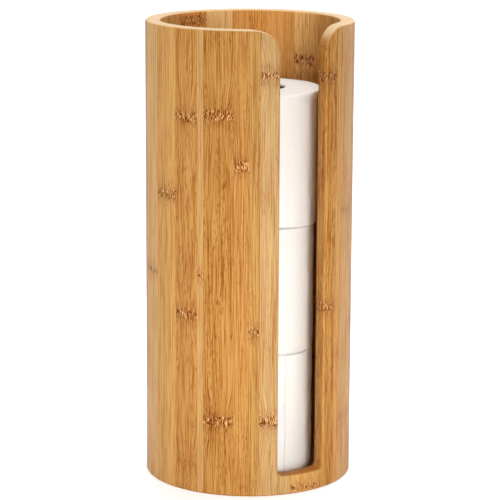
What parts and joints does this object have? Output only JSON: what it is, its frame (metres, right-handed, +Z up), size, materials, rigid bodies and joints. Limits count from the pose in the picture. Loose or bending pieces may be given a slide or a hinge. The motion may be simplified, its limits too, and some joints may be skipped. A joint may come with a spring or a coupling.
{
  "type": "toilet roll storage holder",
  "caption": "Free-standing round bamboo tube with a slot down the front, open at the top, that keeps spare toilet rolls in a stack on a thin base panel.",
  "frame": {"origin": "centre of the underside, on the floor it stands on", "axes": "+Z up along the tube, the slot faces -Y, +X to the right as seen from the slot"},
  "size_m": [0.155, 0.155, 0.3441],
  "materials": {
    "bamboo_pale": "satin",
    "bamboo_honey": "satin",
    "bamboo_caramel": "satin",
    "bamboo_panel": "matte",
    "tissue_paper": "matte",
    "core_board": "matte"
  },
  "bodies": {
    "holder": {"stave_01": "bamboo_honey", "stave_02": "bamboo_honey", "stave_03": "bamboo_caramel", "stave_04": "bamboo_pale", "stave_05": "bamboo_caramel", "stave_06": "bamboo_honey", "stave_07": "bamboo_honey", "stave_08": "bamboo_pale", "stave_09": "bamboo_honey", "stave_10": "bamboo_caramel", "stave_11": "bamboo_honey", "stave_12": "bamboo_honey", "stave_13": "bamboo_caramel", "stave_14": "bamboo_honey", "stave_15": "bamboo_pale", "stave_16": "bamboo_caramel", "stave_17": "bamboo_honey", "stave_18": "bamboo_caramel", "stave_19": "bamboo_pale", "stave_20": "bamboo_caramel", "stave_21": "bamboo_honey", "stave_22": "bamboo_pale", "stave_23": "bamboo_caramel", "base_panel": "bamboo_panel"},
    "roll_bottom": {"roll_bottom_paper": "tissue_paper", "roll_bottom_core": "core_board"},
    "roll_middle": {"roll_middle_paper": "tissue_paper", "roll_middle_core": "core_board"},
    "roll_top": {"roll_top_paper": "tissue_paper", "roll_top_core": "core_board"}
  },
  "joints": [
    {"name": "roll_bottom_lift", "type": "slide", "parent": "holder", "child": "roll_bottom", "axis": [0, 0, 1], "range_m": [0, 0.36]},
    {"name": "roll_middle_lift", "type": "slide", "parent": "roll_bottom", "child": "roll_middle", "axis": [0, 0, 1], "range_m": [0, 0.26]},
    {"name": "roll_top_lift", "type": "slide", "parent": "roll_middle", "child": "roll_top", "axis": [0, 0, 1], "range_m": [0, 0.165]}
  ]
}
